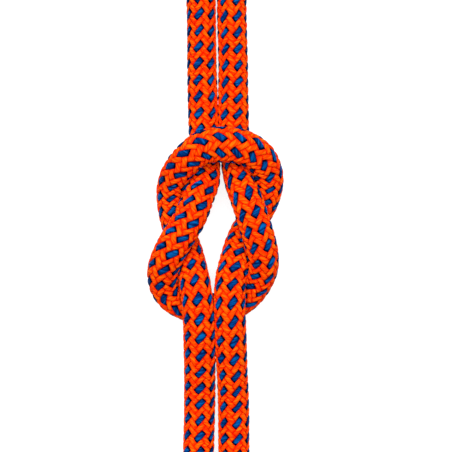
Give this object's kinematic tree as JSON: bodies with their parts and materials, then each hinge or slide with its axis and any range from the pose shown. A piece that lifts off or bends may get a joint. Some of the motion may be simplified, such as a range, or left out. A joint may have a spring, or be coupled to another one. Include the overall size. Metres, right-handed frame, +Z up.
{
  "type": "dynamic climbing rope",
  "caption": "Orange and blue braided dynamic climbing rope tied in a square knot, with short sleeved tails and the long ends folded into strapped hanks.",
  "frame": {"origin": "on the surface that the rope lies on, under the middle of the whole, between the two hanks", "axes": "+Z up from the surface, Y along the rope from the lower hank to the upper one, X across the knot"},
  "size_m": [0.0681, 0.5194, 0.0244],
  "materials": {
    "sheath": "satin braid, orange with blue tracer yarns",
    "core": "dense twisted strands of white polyamide",
    "sleeve": "satin shrink tube",
    "seal": "melted and set",
    "strap": "hook-and-loop webbing"
  },
  "bodies": {
    "root": {"upper_rope_sheath": "sheath", "upper_rope_core": "core", "upper_tail_sleeve": "sleeve", "upper_tail_seal": "seal", "upper_hank_sheath": "sheath", "upper_hank_core": "core", "upper_end_sleeve": "sleeve", "upper_end_seal": "seal", "upper_hank_strap": "strap", "lower_rope_sheath": "sheath", "lower_rope_core": "core", "lower_tail_sleeve": "sleeve", "lower_tail_seal": "seal", "lower_hank_sheath": "sheath", "lower_hank_core": "core", "lower_end_sleeve": "sleeve", "lower_end_seal": "seal", "lower_hank_strap": "strap"}
  },
  "joints": []
}
